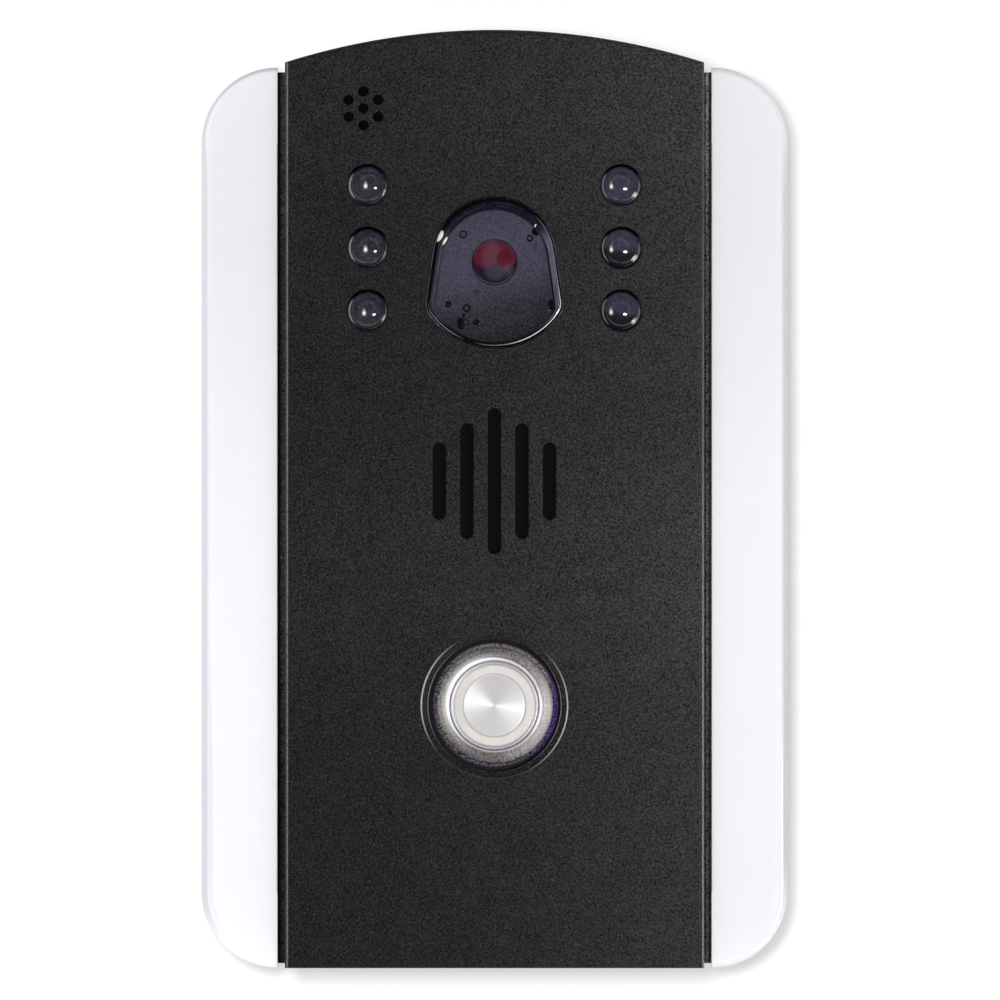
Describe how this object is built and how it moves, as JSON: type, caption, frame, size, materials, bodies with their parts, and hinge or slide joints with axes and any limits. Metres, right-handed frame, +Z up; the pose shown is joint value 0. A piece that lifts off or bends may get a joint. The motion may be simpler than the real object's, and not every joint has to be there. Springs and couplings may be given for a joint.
{
  "type": "video doorbell",
  "caption": "Wall-mounted video doorbell: black cover with arched top, white side wings, camera window, infrared lamps, slotted speaker and lit steel push-button.",
  "frame": {"origin": "on the wall face of the foam gasket, on the cover's centre line, midway between the cover's lowest and highest points", "axes": "+Y into the wall, +Z up, +X to the right seen from the front"},
  "size_m": [0.1112, 0.0334, 0.1774],
  "materials": {
    "foam_black": "closed-cell foam",
    "housing_black": "matt black moulding",
    "rubber_black": "matt rubber",
    "acrylic_white": "polished opal acrylic",
    "screw_steel": "machined",
    "cover_black": "fine textured black powder coat",
    "seal_grey": "silicone",
    "carrier_black": "steel plate, black electrocoat",
    "plated_steel": "zinc plated",
    "window_smoke": "smoked clear plastic",
    "mask_plastic": "satin dark moulding",
    "lens_glass": "coated glass",
    "barrel_black": "matt black",
    "plunger_black": "moulded",
    "sensor_glass": "coated cover glass",
    "board_green": "solder mask",
    "lamp_epoxy": "smoked epoxy",
    "tinned": "tinned wire",
    "can_aluminium": "drawn can",
    "mesh_cloth": "dust cloth",
    "basket_steel": "pressed steel",
    "cone_film": "thin film",
    "magnet_dark": "sintered",
    "stainless": "turned stainless steel",
    "light_ring": "translucent",
    "spring_steel": "drawn wire",
    "contact_brass": "plated",
    "lamp_board": "white solder mask",
    "relay_blue": "moulded case",
    "terminal_green": "moulded",
    "capacitor_sleeve": "shrink sleeve",
    "header_cream": "moulded",
    "ribbon_white": "laminated film",
    "lead_red": "insulation",
    "lead_grey": "insulation",
    "lead_dark": "insulation"
  },
  "bodies": {
    "station": {"wall_gasket": "foam_black", "rear_housing": "housing_black", "cable_grommet": "rubber_black", "left_wing": "acrylic_white", "right_wing": "acrylic_white", "wing_screws": "screw_steel", "faceplate": "cover_black", "security_screws": "screw_steel", "housing_seal": "seal_grey", "carrier_plate": "carrier_black", "carrier_nuts": "plated_steel", "camera_window": "window_smoke", "window_gasket": "foam_black", "camera_mask": "mask_plastic", "lens_element": "lens_glass", "lens_barrel": "barrel_black", "lens_holder": "plunger_black", "image_sensor": "sensor_glass", "camera_board": "board_green", "ir_leds": "lamp_epoxy", "led_leads": "tinned", "led_boards": "board_green", "mic_boot": "rubber_black", "mic_capsule": "can_aluminium", "speaker_mesh": "mesh_cloth", "speaker_gasket": "foam_black", "speaker_basket": "basket_steel", "speaker_cone": "cone_film", "speaker_magnet": "magnet_dark", "speaker_clips": "plated_steel", "small_screws": "screw_steel", "button_bezel": "stainless", "button_seal": "rubber_black", "button_nut": "plated_steel", "return_spring": "spring_steel", "contact_block": "plunger_black", "button_terminals": "contact_brass", "ring_lamp": "lamp_board", "main_board": "board_green", "board_spacers": "contact_brass", "board_screws": "screw_steel", "processor_shield": "can_aluminium", "radio_module": "can_aluminium", "relay": "relay_blue", "terminal_block": "terminal_green", "terminal_screws": "screw_steel", "capacitors": "capacitor_sleeve", "ribbon_sockets": "header_cream", "camera_ribbon": "ribbon_white", "lead_headers": "header_cream", "speaker_leads": "lead_red", "mic_leads": "lead_grey", "button_leads": "lead_dark"},
    "push_button": {"button_rim": "stainless", "button_light_ring": "light_ring", "button_disc": "stainless", "button_plunger": "plunger_black", "plunger_clip": "spring_steel", "contact_bridge": "contact_brass"}
  },
  "joints": [
    {"name": "button_press", "type": "slide", "parent": "station", "child": "push_button", "axis": [0, 1, 0], "range_m": [0, 0.002], "stiffness_N_per_m": 700, "springref_m": -0.003, "deforming": ["return_spring"]}
  ]
}
